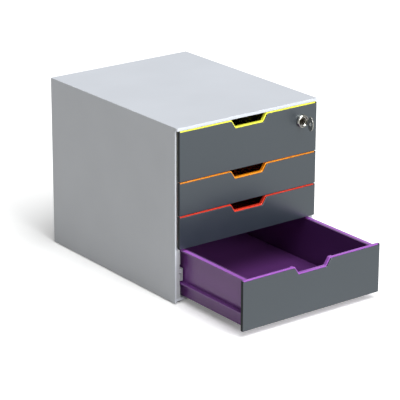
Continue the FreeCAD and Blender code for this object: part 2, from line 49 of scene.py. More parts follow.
bl_info = {
    "name": "Desktop drawer box",
    "version": (1, 0, 0),
    "blender": (4, 5, 0),
    "location": "View3D > Sidebar > Drawer Box",
    "description": "Builds the surfaces, finishes and studio of a desktop drawer box round its frame",
    "category": "Object",
}

MM = 0.001
DRAWERS = ("bottom", "third", "second", "top")
TRAY_COLOURS = {"bottom": "purple", "third": "red", "second": "orange", "top": "yellow"}
# Lit and shaded copies of each drawer's colour: the inside's dark tone is painted shade, the outer sides'
# middle tone is painted light, and the full colour on the lip and rim is a painted highlight.
INSIDE_PAINTED_SHADE = {"purple": 0.28, "red": 0.8, "orange": 0.85, "yellow": 0.85}
OUTSIDE_PAINTED_LIGHT = {"purple": 0.5, "red": 0.85, "orange": 0.9, "yellow": 0.9}
LIP_PAINTED_HIGHLIGHT = dict.fromkeys(INSIDE_PAINTED_SHADE, 1.0)
PLASTIC_IOR = 1.5
COAT_IOR = 1.6
COVER_COAT_ROUGH = 0.24
COVER_MIRROR_TINT = (0.85, 0.96, 1.0, 1.0)
DESK_SEEN = (1.0, 0.975, 0.945, 1.0)  # the desk's colour to the camera
DESK_LIGHTING = (0.655, 0.64, 0.61, 1.0)  # its colour in the light that it sends to the pieces
WHITE = (1.0, 1.0, 1.0, 1.0)
DESK_REACH = 14.0
LAMP_DISTANCE = 3.0
AIM_HEIGHT = 0.146  # height of the point that the camera is turned to

ROOF_SHEET = 3.5 * MM
WALL_LEAD = 0.6 * MM  # the side walls' front edges, ahead of the runner panels
EAVE_UNDER = 0.35  # rounding under the eave, as a share of the roof's edge radius
BACK_SHEET = 2.5 * MM
LEDGE = 2.0 * MM  # width and depth of the ledges inside the housing
LEDGE_ROUND = 0.2 * MM
SUNK = 0.5 * MM  # how far a bar runs into what it stands on
TRAY_PLAY = 2.5 * MM  # from a drawer's side wall to the runner panel
FLANGE_REACH = 5.0 * MM  # how far a drawer's flanges stand into the runner panel's grooves
FLANGE_ROUND = 0.5 * MM
HIGHLIGHT_RIM_DEPTH = 200.0 * MM  # behind this depth all of a drawer's rim has the lip's painted highlight
SIDEWAYS_SHADE_LIMIT = 0.6  # a cover's faces whose normal has more x than this get the darker edge finish, whose darkness is painted shade
COVER_FIT = 0.2 * MM  # from a cover's wrapped edge to the coloured front wall in it
LIP_ROUND = 0.3 * MM
LIP_RAMP = 0.6 * MM  # width in which the lip's depth changes at each end of the notch
RIB_HALF = 0.8 * MM
RIB_ROUND = 0.3 * MM
BEZEL_SIDE = 0.4  # the bezel's straight side, as a share of its height
WELD = 0.002 * MM  # points nearer to each other than this become one
LOOP_STEPS = 6  # steps round a rounded corner
ROUND_STEPS = 96  # steps round the lock and the key's bow
TINY = 1e-9


# --- Sizes that the frame gives ---
def corners_of(node):
    low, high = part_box(node)
    return np.array(low), np.array(high)


SHELL_LOW, SHELL_HIGH = corners_of("housing_shell")
PANEL_LOW, PANEL_HIGH = corners_of("runner_panel_right")
LOCK_LOW, LOCK_HIGH = corners_of("lock_housing")
KEY_LOW, KEY_HIGH = corners_of("key")
HALF_WIDTH = SHELL_HIGH[0]
WALL_INNER = PANEL_HIGH[0]
EAVE_FRONT = SHELL_LOW[1]
SHELL_REAR = SHELL_HIGH[1]
ROOF_LOW = SHELL_HIGH[2] - ROOF_SHEET
TRAY_HALF = PANEL_LOW[0] - TRAY_PLAY
FLANGE_TIP = PANEL_LOW[0] + FLANGE_REACH
FACE = corners_of("front_cover_top")[0][1]
LOCK_X = (LOCK_LOW[0] + LOCK_HIGH[0]) / 2
LOCK_Z = (LOCK_LOW[2] + LOCK_HIGH[2]) / 2
LOCK_RADIUS = (LOCK_HIGH[0] - LOCK_LOW[0]) / 2


# --- Surfaces ---
def loop_through(corners, steps=LOOP_STEPS):
    """A closed loop (n * (steps + 1), 2) through corners (n, 3) of (a, b, radius).

    With p the corner, u and w the unit vectors to the corners before and after it, and h half the
    angle between them, the arc's centre is p + (u + w) / |u + w| * r / sin h, and its points go
    round that centre from p + u * r / tan h to p + w * r / tan h. A radius of 0 repeats the corner.
    """
    p, r = corners[:, :2], corners[:, 2]
    before = np.roll(p, 1, axis=0) - p
    after = np.roll(p, -1, axis=0) - p
    before /= np.linalg.norm(before, axis=1)[:, None]
    after /= np.linalg.norm(after, axis=1)[:, None]
    half = np.arccos(np.clip((before * after).sum(1), -1, 1)) / 2
    middle = before + after
    length = np.linalg.norm(middle, axis=1)
    middle /= np.where(length < TINY, 1, length)[:, None]
    centre = p + middle * (r / np.maximum(np.sin(half), TINY))[:, None]
    run = (r / np.maximum(np.tan(half), TINY))[:, None]
    start, end = p + before * run - centre, p + after * run - centre
    first = np.arctan2(start[:, 1], start[:, 0])
    turn = np.arctan2(end[:, 1], end[:, 0]) - first
    turn = (turn + math.pi) % (2 * math.pi) - math.pi
    angle = first[:, None] + turn[:, None] * np.linspace(0, 1, steps + 1)[None, :]
    arc = np.stack([np.cos(angle), np.sin(angle)], -1) * r[:, None, None]
    return (centre[:, None, :] + arc).reshape(-1, 2)


def way_round(corners):
    """1 for a loop that runs anticlockwise and -1 for one that runs clockwise, by the sign of its area."""
    a, b = corners[:, 0], corners[:, 1]
    return 1 if (a * np.roll(b, -1) - np.roll(a, -1) * b).sum() > 0 else -1


def edge_normals(corners):
    """Unit normals (n, 2) of the edges that leave each corner, to the outside of a loop.

    An edge along the unit vector (a, b) has the normal (b, -a), turned round on a clockwise loop.
    """
    p = corners[:, :2]
    run = np.roll(p, -1, axis=0) - p
    run /= np.linalg.norm(run, axis=1)[:, None]
    return np.stack([run[:, 1], -run[:, 0]], -1) * way_round(corners)


def inset(corners, distance):
    """The corners moved in by a distance d: p - d * (m + n) / (1 + m . n).

    m and n are the normals of the corner's two edges. A convex corner's radius shrinks by the
    distance and a hollow one's grows by it.
    """
    normal = edge_normals(corners)
    before = np.roll(normal, 1, axis=0)
    mitre = (before + normal) / (1 + (before * normal).sum(1))[:, None]
    moved = corners.copy()
    moved[:, :2] -= mitre * distance
    turn = (before[:, 0] * normal[:, 1] - before[:, 1] * normal[:, 0]) * way_round(corners)
    rounded = corners[:, 2] > 0
    moved[:, 2] = np.where(rounded, np.maximum(corners[:, 2] - np.sign(turn) * distance, 0), 0)
    return moved


def quarter(steps=4):
    """A rounded edge's run in and run back: 1 - sin t and 1 - cos t, for t from 0 to a quarter turn."""
    t = np.linspace(0, math.pi / 2, steps + 1)
    return 1 - np.sin(t), 1 - np.cos(t)


def rounding(behind, radius):
    """How far in a rounded edge lies: r - sqrt(r^2 - (r - d)^2) at d behind its start, 0 from d = r on."""
    short = np.clip(radius - behind, 0, radius)
    return radius - np.sqrt(np.clip(radius**2 - short**2, 0, None))


def closed_mesh(name, capped, joined):
    """A mesh of closed surfaces, each from a grid (rings, points, 3), the joined ones first.

    Point j of ring i is joined to its neighbours j + 1 and i + 1. A capped grid has a face on each
    end, and a joined grid's last ring meets its first.
    """
    points, faces, count = [], [], 0
    for grid, meets in [(grid, True) for grid in joined] + [(grid, False) for grid in capped]:
        rings, size, _ = grid.shape
        i, j = np.meshgrid(np.arange(rings if meets else rings - 1), np.arange(size), indexing="ij")
        upper, beside = (i + 1) % rings, (j + 1) % size
        quads = np.stack([i * size + j, i * size + beside, upper * size + beside, upper * size + j], -1)
        faces += (quads.reshape(-1, 4) + count).tolist()
        if not meets:
            last = (rings - 1) * size
            faces.append((np.arange(size)[::-1] + count).tolist())
            faces.append((np.arange(size) + last + count).tolist())
        points.append(grid.reshape(-1, 3))
        count += rings * size
    mesh = bpy.data.meshes.new(name)
    mesh.from_pydata(np.concatenate(points).tolist(), [], faces)
    work = bmesh.new()
    work.from_mesh(mesh)
    bmesh.ops.remove_doubles(work, verts=work.verts, dist=WELD)
    bmesh.ops.dissolve_degenerate(work, dist=WELD, edges=work.edges)
    bmesh.ops.recalc_face_normals(work, faces=work.faces)
    work.to_mesh(mesh)
    work.free()
    mesh.update()
    return mesh


def in_plane(loop, y):
    """Points (x, y, z) of a loop (x, z) at depths y, one number or one for each point."""
    return np.stack([loop[:, 0], np.broadcast_to(y, len(loop)), loop[:, 1]], -1)


def carried(corners, insets, depths, steps=LOOP_STEPS):
    """Rings: the loop through the corners, drawn in by each distance and laid at the depth beside it."""
    return [in_plane(loop_through(inset(corners, distance), steps), y) for distance, y in zip(insets, depths)]


def block(low, high, radius, steps=3):
    """A bar along Y with rounded edges: a rounded rectangle carried along, drawn in at both ends."""
    corners = np.array([(low[0], low[2], radius), (high[0], low[2], radius),
                        (high[0], high[2], radius), (low[0], high[2], radius)])
    run_in, run_back = quarter(steps)
    front = carried(corners, radius * run_in, low[1] + radius * run_back, steps)
    back = carried(corners, radius * run_in[::-1], high[1] - radius * run_back[::-1], steps)
    return np.array(front + back)


def on_side(side, near, far):
    """The lower and the upper x between two distances from the middle, to the left (-1) or the right (1)."""
    return sorted((side * near, side * far))


def lathe(profile):
    """A surface of revolution: (radius, y) carried round the lock's axis, x = r cos t and z = r sin t."""
    angle = np.linspace(0, 2 * math.pi, ROUND_STEPS, endpoint=False)
    radius, y = profile[:, :1], profile[:, 1:]
    x, z = LOCK_X + radius * np.cos(angle), LOCK_Z + radius * np.sin(angle)
    return np.stack([x, np.broadcast_to(y, x.shape), z], -1)


def face_vectors(piece, kind):
    """The "center" or the "normal" of each of a piece's faces, as an array (n, 3)."""
    faces = piece.data.polygons
    vectors = np.empty(len(faces) * 3)
    faces.foreach_get(kind, vectors)
    return vectors.reshape(-1, 3)


def other_finish(piece, material, chosen):
    """Gives the chosen faces, an array of true and false, another finish."""
    mesh = piece.data
    index = np.empty(len(mesh.polygons), np.int32)
    mesh.polygons.foreach_get("material_index", index)
    index[chosen] = len(mesh.materials)
    mesh.materials.append(material)
    mesh.polygons.foreach_set("material_index", index)


def place(name, body, material, replaced, capped, joined=(), sharp_from=35.0):
    """Puts a mesh into the scene at the origin, on its body, with even shading on its flats."""
    mesh = closed_mesh(name, capped, joined)
    piece = bpy.data.objects.new(name, mesh)
    bpy.context.scene.collection.objects.link(piece)
    mesh.polygons.foreach_set("use_smooth", np.ones(len(mesh.polygons), bool))
    mesh.set_sharp_from_angle(angle=math.radians(sharp_from))
    mesh.materials.append(material)
    even = piece.modifiers.new("even_shading", "WEIGHTED_NORMAL")
    even.keep_sharp = True
    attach(piece, body)
    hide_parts(replaced)
    return piece


# --- Finishes ---
class Finish:
    """A material's nodes, with short ways to add the ones that these finishes share."""

    def __init__(self, name):
        self.material = bpy.data.materials.get(name) or bpy.data.materials.new(name)
        self.material.use_nodes = True
        self.tree = self.material.node_tree
        self.tree.nodes.clear()
        out = self.add("ShaderNodeOutputMaterial")
        self.shader = self.add("ShaderNodeBsdfPrincipled")
        self.link(self.shader.outputs["BSDF"], out.inputs["Surface"])
        self.place = self.add("ShaderNodeTexCoord").outputs["Object"]

    def add(self, kind, **values):
        node = self.tree.nodes.new(kind)
        for key, value in values.items():
            setattr(node, key, value)
        return node

    def link(self, out, socket):
        self.tree.links.new(out, socket)

    def noise(self, scale, detail=2.0, rough=0.5, stretch=None):
        node = self.add("ShaderNodeTexNoise")
        node.inputs["Scale"].default_value = scale
        node.inputs["Detail"].default_value = detail
        node.inputs["Roughness"].default_value = rough
        source = self.place
        if stretch:
            mapping = self.add("ShaderNodeMapping")
            mapping.inputs["Scale"].default_value = stretch
            self.link(self.place, mapping.inputs["Vector"])
            source = mapping.outputs["Vector"]
        self.link(source, node.inputs["Vector"])
        return node.outputs["Fac"]

    def ramp(self, value, low, high, to_low, to_high):
        node = self.add("ShaderNodeMapRange", clamp=True)
        ends = {"From Min": low, "From Max": high, "To Min": to_low, "To Max": to_high}
        for socket, number in ends.items():
            node.inputs[socket].default_value = number
        self.link(value, node.inputs["Value"])
        return node.outputs["Result"]

    def tone(self, colour, pattern, low, high):
        """The colour, from low to high times its strength over a pattern."""
        node = self.add("ShaderNodeMix", data_type="RGBA")
        node.inputs["A"].default_value = (*shade(colour, low), 1)
        node.inputs["B"].default_value = (*shade(colour, high), 1)
        self.link(pattern, node.inputs["Factor"])
        self.link(node.outputs["Result"], self.shader.inputs["Base Color"])

    def roughness(self, *ramp):
        self.link(self.ramp(*ramp), self.shader.inputs["Roughness"])

    def bump(self, heights):
        """Bumps one over another: each entry is (height, strength, distance in metres)."""
        normal = None
        for height, strength, distance in heights:
            node = self.add("ShaderNodeBump")
            node.inputs["Strength"].default_value = strength
            node.inputs["Distance"].default_value = distance
            self.link(height, node.inputs["Height"])
            if normal is not None:
                self.link(normal, node.inputs["Normal"])
            normal = node.outputs["Normal"]
        self.link(normal, self.shader.inputs["Normal"])

    def set(self, **values):
        for key, value in values.items():
            self.shader.inputs[key.replace("_", " ")].default_value = value


def shade(colour, factor):
    return tuple(min(c * factor, 1.0) for c in colour)


def satin_plastic(name, colour, rough, grain):
    """Moulded plastic with a fine spark-eroded grain and a slow, faint change of tone."""
    f = Finish(name)
    slow = f.ramp(f.noise(9.0, 2.0), 0.35, 0.65, 0.0, 1.0)
    f.tone(colour, slow, 0.98, 1.02)
    cells = f.noise(1400.0, 3.0, 0.6)
    f.roughness(f.noise(40.0, 2.0), 0.3, 0.7, rough - 0.015, rough + 0.015)
    f.set(IOR=PLASTIC_IOR)
    f.bump([(cells, grain, 0.00004), (f.noise(6.0, 0.0), 0.02, 0.0006)])
    return f.material


def polished_plastic(name, colour, rough):
    """Polished coloured plastic: even tone, faint flow marks along the walls and hairline scratches."""
    f = Finish(name)
    slow = f.ramp(f.noise(12.0, 2.0, 0.5, (1.0, 0.4, 1.0)), 0.35, 0.65, 0.0, 1.0)
    f.tone(colour, slow, 0.95, 1.05)
    f.roughness(f.noise(220.0, 4.0, 0.7, (1.0, 0.08, 1.0)), 0.35, 0.7, rough - 0.03, rough + 0.05)
    f.set(IOR=PLASTIC_IOR, Coat_Weight=0.25, Coat_Roughness=rough)
    f.bump([(f.noise(18.0, 1.0), 0.06, 0.0006), (f.noise(900.0, 2.0), 0.03, 0.00002)])
    return f.material


def plated_metal(name, colour, rough, scratch):
    """Plated metal with fine polishing scratches and slightly duller patches."""
    f = Finish(name)
    f.tone(colour, f.noise(120.0, 3.0), 0.94, 1.04)
    f.roughness(f.noise(260.0, 4.0, 0.7), 0.35, 0.7, rough, rough + 0.1)
    f.set(Metallic=1.0)
    f.bump([(f.noise(2600.0, 2.0, 0.5, (1.0, 0.15, 1.0)), scratch, 0.00002)])
    return f.material


def soft_rubber(name, colour):
    """Dull black rubber with a fine pitted skin."""
    f = Finish(name)
    f.tone(colour, f.noise(300.0, 3.0), 0.8, 1.3)
    f.roughness(f.noise(500.0, 2.0), 0.3, 0.7, 0.7, 0.85)
    f.set(IOR=PLASTIC_IOR)
    f.bump([(f.noise(1500.0, 3.0), 0.25, 0.00005)])
    return f.material


# --- What a user can change ---
def length(name, about, value, low=0.0, high=1.0):
    return bpy.props.FloatProperty(name=name, description=about, default=value, min=low, max=high,
                                   unit="LENGTH", subtype="DISTANCE", precision=4)


def tint(name, about, value):
    return bpy.props.FloatVectorProperty(name=name, description=about, default=value, size=3,
                                         min=0.0, max=1.0, subtype="COLOR")


def share(name, about, value, low=0.0, high=1.0):
    return bpy.props.FloatProperty(name=name, description=about, default=value, min=low, max=high,
                                   subtype="FACTOR")


class DrawerBoxSizes(bpy.types.PropertyGroup):
    roof_round: length("Roof edge radius", "Radius along the outer edges of the roof", 0.9 * MM)
    eave_corner: length("Eave corner radius", "Plan radius of the eave's front corners", 3.0 * MM)
    eave_height: length("Eave height", "Height of the eave's front face", 5.0 * MM)
    eave_nose: length("Eave nose", "Depth of the thick part of the eave", 4.5 * MM)
    wall_end_round: length("Wall end radius", "Radius on the side walls' front edges", 0.4 * MM)
    front_gap: length("Front gap", "Gap between one front and the next", 1.7 * MM)
    cover_sheet: length("Cover thickness", "Thickness of a front cover", 2.0 * MM)
    cover_flange: length("Cover flange", "Thickness of the cover's wrapped edge", 1.3 * MM)
    cover_wrap: length("Cover wrap", "Depth of the cover's wrapped edge", 5.4 * MM)
    cover_round: length("Cover edge radius", "Radius along a cover's front edges", 0.55 * MM)
    lip_reveal: length("Lip reveal", "Coloured lip that shows over the cover", 1.8 * MM)
    lip_depth: length("Lip depth", "Depth of the coloured lip", 3.5 * MM)
    ledge_depth: length("Notch ledge depth", "Depth of the coloured ledge along the notch", 5.6 * MM)
    notch_top: length("Notch width above", "Width of the finger notch at the lip", 70.0 * MM)
    notch_bottom: length("Notch width below", "Width of the finger notch at its floor", 54.0 * MM)
    notch_depth: length("Notch depth", "Depth of the finger notch", 12.5 * MM)
    notch_round: length("Notch radius", "Radius in the corners of the finger notch", 3.0 * MM)
    tray_wall: length("Tray wall", "Thickness of a drawer's walls", 2.2 * MM)
    tray_floor: length("Tray floor", "Thickness of a drawer's floor", 2.5 * MM)
    floor_level: length("Floor level", "Top of a drawer's floor above its bay", 7.3 * MM)
    floor_round: length("Floor radius", "Radius where a drawer's walls meet its floor", 3.0 * MM)
    wall_round: length("Wall corner radius", "Radius in a drawer's upright rear corners", 4.0 * MM)
    rim_drop: length("Rim drop", "Side rim below the coloured lip", 1.75 * MM)
    # The rim's inner band also marks where the rim's painted highlight begins: the band keeps the walls'
    # painted shade.
    rim_inner: length("Rim's inner band", "Part of the side rim that stays in the wall's tone", 1.0 * MM)
    flange_thickness: length("Flange thickness", "Thickness of the rim and runner flanges", 3.0 * MM)
    rear_flange: length("Rear flange", "Depth of the rim flange behind the rear wall", 2.0 * MM)
    runner_level: length("Runner level", "Middle of the runner flange above its bay", 24.5 * MM)
    bezel_height: length("Bezel height", "Height of the lock's bezel", 5.0 * MM)
    bezel_brow: length("Bezel shoulder", "Width of the rounded shoulder of the bezel", 2.4 * MM)
    bezel_dish: length("Bezel dish", "Depth that the bezel's face sinks towards its bore", 2.4 * MM)
    barrel_radius: length("Barrel radius", "Radius of the lock's barrel", 9.0 * MM)
    barrel_flats: length("Barrel flats", "Size across the barrel's flats", 15.6 * MM)
    plug_radius: length("Plug bore", "Radius of the bore for the lock's plug", 6.06 * MM)
    blade_set_in: length("Blade set in", "Depth of the blade's faces under those of the bow", 0.12 * MM)
    bow_width: length("Key bow width", "Width of the key's bow", 13.5 * MM)
    bow_hole: length("Key hole radius", "Radius of the hole in the bow", 3.0 * MM)
    bow_rim: length("Key rim", "Metal in front of the hole in the bow", 2.0 * MM)
    blade_height: length("Key blade", "Height of the key's blade", 6.6 * MM)


class DrawerBoxFinishes(bpy.types.PropertyGroup):
    housing: tint("Housing", "Light grey of the housing", (0.60, 0.61, 0.64))
    cover: tint("Fronts", "Anthracite of the front covers", (0.010, 0.015, 0.023))
    purple: tint("Bottom drawer", "Colour of the bottom drawer", (0.35, 0.10, 0.48))
    red: tint("Third drawer", "Colour of the third drawer", (0.80, 0.045, 0.02))
    orange: tint("Second drawer", "Colour of the second drawer", (0.95, 0.30, 0.01))
    yellow: tint("Top drawer", "Colour of the top drawer", (1.0, 0.93, 0.08))
    # The runner panels' grey is darker than the housing's: painted shade inside the housing.
    rail: tint("Runner panels", "Grey of the grooved panels inside the housing", (0.43, 0.43, 0.44))
    chrome: tint("Lock and key", "Nickel plating of the lock and the key", (0.52, 0.51, 0.47))
    # The lock's face and core are near black: painted shade of the bore.
    core: tint("Lock's face", "Darkened metal of the lock's face and its turning core", (0.07, 0.06, 0.05))
    zinc: tint("Small steel parts", "Dull plating of catch, cam and screws", (0.50, 0.51, 0.52))
    rubber: tint("Feet", "Black of the rubber feet", (0.02, 0.02, 0.021))
    housing_rough: share("Housing roughness", "Roughness of the housing", 0.42)
    cover_rough: share("Front roughness", "Roughness of the front covers", 0.38)
    cover_polish: share("Front polish", "Strength of the covers' smoother, mirror-like share", 0.95)
    tray_rough: share("Drawer roughness", "Roughness of the coloured drawers", 0.2)


class DrawerBoxStudio(bpy.types.PropertyGroup):
    azimuth: bpy.props.FloatProperty(name="Azimuth", description="Camera's turn to the right of the front",
                                     default=math.radians(-36.51), subtype="ANGLE", unit="ROTATION")
    elevation: bpy.props.FloatProperty(name="Elevation", description="Camera's height angle",
                                       default=math.radians(18.7), subtype="ANGLE", unit="ROTATION")
    distance: length("Distance", "Camera to the middle of the housing", 3.3, 0.5, 20.0)
    focal: bpy.props.FloatProperty(name="Focal length", description="Lens in millimetres, on 36 mm film",
                                   default=179.14, min=20.0, max=400.0)
    shift_x: share("Shift X", "Sideways shift of the frame", 0.0480, -0.3, 0.3)
    shift_y: share("Shift Y", "Upward shift of the frame", -0.0708, -0.3, 0.3)
    sky: share("Sky level", "Even light from all round", 0.09, 0.0, 2.0)
    overhead: share("Overhead light", "Light that the overhead lamp gives a level surface", 0.93, 0.0, 3.0)
    front: share("Front light", "Light that the front lamp gives a surface turned to it", 0.88, 0.0, 3.0)
    floor_glow: share("Floor glow", "How much whiter the floor looks to the camera", 0.20)
    floor_mirrored: share("Mirrored floor glow", "Share of the floor's glow that glossy faces mirror", 0.0)
    sky_mirrored: share("Mirrored sky", "Share of the white surroundings that glossy faces mirror", 0.4)


GROUPS = {"drawer_box_sizes": DrawerBoxSizes, "drawer_box_finishes": DrawerBoxFinishes,
          "drawer_box_studio": DrawerBoxStudio}


def sizes():
    return bpy.context.scene.drawer_box_sizes


def finishes():
    return bpy.context.scene.drawer_box_finishes


def housing_finish():
    f = finishes()
    return satin_plastic("housing_grey", tuple(f.housing), f.housing_rough, 0.18)


def cover_finish():
    f = finishes()
    material = satin_plastic("cover_anthracite", tuple(f.cover), f.cover_rough, 0.10)
    shader = material.node_tree.nodes["Principled BSDF"]
    shader.inputs["Specular IOR Level"].default_value = 1.0
    shader.inputs["Specular Tint"].default_value = COVER_MIRROR_TINT
    shader.inputs["Coat Weight"].default_value = f.cover_polish
    shader.inputs["Coat Roughness"].default_value = COVER_COAT_ROUGH
    shader.inputs["Coat IOR"].default_value = COAT_IOR
    return material


def painted_light_tone(part, name, painted_tones):
    """A drawer's polished plastic for one of its parts: the drawer's colour times the part's tone, which
    paints light and shade into it.
    """
    colour = TRAY_COLOURS[name]
    tone = shade(tuple(getattr(finishes(), colour)), painted_tones[colour])
    return polished_plastic(part + "_" + colour, tone, finishes().tray_rough)


# The finish of a drawer's inside and all its other faces: the drawer's colour darkened as painted shade.
def tray_painted_shade(name):
    return painted_light_tone("drawer", name, INSIDE_PAINTED_SHADE)


def outside_painted_light(name):
    """The finish of a drawer's outer side walls: the drawer's colour lightened by painted light, above the
    inside's painted shade.
    """
    return painted_light_tone("outside", name, OUTSIDE_PAINTED_LIGHT)


def lip_painted_highlight(name):
    """The finish of a drawer's lip and rim: the drawer's full colour as a painted highlight."""
    return painted_light_tone("lip", name, LIP_PAINTED_HIGHLIGHT)


def chrome_finish():
    return plated_metal("lock_chrome", tuple(finishes().chrome), 0.08, 0.04)


# The lock's face and core: near-black metal, painted shade of the bore.
def core_painted_shade():
    return plated_metal("lock_core_dark", tuple(finishes().core), 0.16, 0.05)


# --- Housing ---
def shell_surface():
    """Side walls, roof and eave as one closed surface: an upside-down U carried along Y.

    For each depth y the section has half width w(y), roof top t(y), leg foot g(y) and inner roof
    u(y). In front, w = W - c + sqrt(c^2 - (y - y0 - c)^2) rounds the eave's corners in plan and
    t = T - r + sqrt(r^2 - (y - y0 - r)^2) rounds its upper edge. Over the nose, g and u are the
    eave's underside, a little rounded in front, and then they slope up towards the roof's
    underside. From the walls' front edges on, u is the roof's underside and g the walls' foot.
    """
    s = sizes()
    top, low = SHELL_HIGH[2], SHELL_LOW[2]
    wall_front = PANEL_LOW[1] - WALL_LEAD
    eave_low = top - s.eave_height
    nose = EAVE_FRONT + s.eave_nose
    c, r, e = s.eave_corner, s.roof_round, s.wall_end_round
    run_back = quarter(LOOP_STEPS)[1]
    eave = np.concatenate([EAVE_FRONT + r * run_back,
                           EAVE_FRONT + r + (c - r) * np.linspace(0, 1, LOOP_STEPS + 1)[1:],
                           [nose, wall_front]])
    walls = np.concatenate([wall_front + e * run_back, SHELL_REAR - e * run_back[::-1]])
    y = np.concatenate([eave, walls])
    in_walls = np.arange(len(y)) >= len(eave)
    in_nose = y <= nose + TINY
    front_in = rounding(y - EAVE_FRONT, r)
    rear_in = rounding(SHELL_REAR - y, e)
    wall_in = np.where(in_walls, rounding(y - wall_front, e), 0)
    half = HALF_WIDTH - rounding(y - EAVE_FRONT, c) - rear_in
    roof = top - front_in - rear_in
    slope = np.minimum(eave_low + (y - nose), ROOF_LOW)
    nose_low = eave_low + EAVE_UNDER * front_in
    under = np.where(in_nose, nose_low, np.where(in_walls, ROOF_LOW, slope)) + rear_in
    foot = np.where(in_walls, low, under)
    # In the eave the inner roof is a hair above the foot, so that the edges between them have a direction.
    inner_roof = under + np.where(in_walls, 0, 1e-7)
    inner_half = np.minimum(WALL_INNER + wall_in / 2, half - 0.01 * MM)
    rings = []
    for at, w, z, g, u, i in zip(y, half, roof, foot, inner_roof, inner_half):
        corners = np.array([(-w, g, 0), (-w, z, r), (w, z, r), (w, g, 0),
                            (i, g, 0), (i, u, 0), (-i, u, 0), (-i, g, 0)])
        rings.append(in_plane(loop_through(corners), at))
    return np.array(rings)


class OBJECT_OT_drawer_box_shell(bpy.types.Operator):
    """Build the housing's side walls, roof and eave, with the ledges inside them"""
    bl_idname = "object.drawer_box_shell"
    bl_label = "Housing shell"

    def execute(self, context):
        low, high = corners_of("base_plate")
        rear = corners_of("back_panel")[1][1] - BACK_SHEET
        surfaces = [shell_surface()]
        for side in (-1, 1):
            x = on_side(side, WALL_INNER + SUNK, WALL_INNER - LEDGE)
            surfaces.append(block((x[0], low[1], low[2] - LEDGE), (x[1], high[1], low[2]), LEDGE_ROUND))
            surfaces.append(block((x[0], rear - LEDGE, high[2]), (x[1], rear, ROOF_LOW + SUNK), LEDGE_ROUND))
        surfaces.append(block((-WALL_INNER, rear - LEDGE, ROOF_LOW - LEDGE),
                              (WALL_INNER, rear, ROOF_LOW + SUNK), LEDGE_ROUND))
        place("housing_moulding", "housing", housing_finish(), "housing_shell", surfaces)
        return {"FINISHED"}


# --- Fronts ---
def front_corners(half, low, high, drop, tip=0.0):
    """Corners (x, z, radius) of a front with its finger notch, its upper edge lowered by a drop.

    The notch's corners move out by drop * tan(slope / 2), so that its floor and its sloping sides
    lie as far from those of the undropped front as its upper edge does. With a tip above 0, that
    much of each end stays at the full height.
    """
    s = sizes()
    slope = math.atan2(s.notch_depth, (s.notch_top - s.notch_bottom) / 2)
    grow = drop * math.tan(slope / 2)
    upper, lower = s.notch_top / 2 + grow, s.notch_bottom / 2 + grow
    edge = high - drop
    ends = [(half, low, 0), (half, edge, 0)]
    if tip > 0:
        ends = [(half, low, 0), (half, high, 0), (half - tip, high, 0), (half - tip, edge, 0)]
    right = ends + [(upper, edge, s.notch_round), (lower, edge - s.notch_depth, s.notch_round)]
    return np.array(right + [(-x, z, r) for x, z, r in reversed(right)])


def cover_surface(name):
    """A front cover: its outline carried from the face round a small radius, back and in again.

    The depth behind the face is the cover's thickness along the top edge and the notch, and the
    depth of the wrap along the sides and the foot, where the inner loop lies one flange further in.
    """
    s = sizes()
    low, high = corners_of("front_cover_" + name)
    face, r = low[1], s.cover_round
    outer = front_corners(high[0], low[2], high[2], s.lip_reveal, s.cover_flange)
    flange = s.cover_flange - 0.01 * MM
    inner = outer.copy()
    inner[[0, -1], 1] += flange
    inner[[0, 1], 0] -= flange
    inner[[-2, -1], 0] += flange
    wrapped = np.zeros(len(outer), bool)
    wrapped[[0, 1, 2, -3, -2, -1]] = True
    depth = np.where(np.repeat(wrapped, LOOP_STEPS + 1), s.cover_wrap, s.cover_sheet)
    run_in, run_back = quarter(4)
    grid = carried(outer, r * run_in, face + r * run_back)
    grid += carried(outer, [0], [face + depth])
    grid += carried(inner, [0, 0], [face + depth, face + s.cover_sheet])
    return np.array(grid)


class OBJECT_OT_drawer_box_covers(bpy.types.Operator):
    """Build the four anthracite front covers"""
    bl_idname = "object.drawer_box_covers"
    bl_label = "Front covers"

    def execute(self, context):
        # The covers' sideways faces get a rougher, darker copy of the cover plastic: the matt edge is the
        # part's own finish, and the darkness is painted shade.
        edge = satin_plastic("cover_edge", shade(tuple(finishes().cover), 0.45), 0.72, 0.12)
        for name in DRAWERS:
            piece = place("cover_" + name, name + "_drawer", cover_finish(), "front_cover_" + name,
                          [cover_surface(name)])
            sideways = np.abs(face_vectors(piece, "normal")[:, 0])
            other_finish(piece, edge, sideways > SIDEWAYS_SHADE_LIMIT)
        return {"FINISHED"}


# --- Coloured drawers ---
class TrayLevels:
    """Where a drawer's face, rear wall, rim, floor, runner flange and foot lie."""

    def __init__(self, name):
        s = sizes()
        low, high = corners_of("drawer_" + name)
        cover_low, cover_high = corners_of("front_cover_" + name)
        bay = cover_low[2] - s.front_gap
        self.face = cover_low[1]
        self.rear = high[1] - s.rear_flange
        self.rim = cover_high[2] - s.rim_drop
        self.floor = bay + s.floor_level
        self.under_floor = self.floor - s.tray_floor
        self.runner = bay + s.runner_level
        self.foot = low[2]


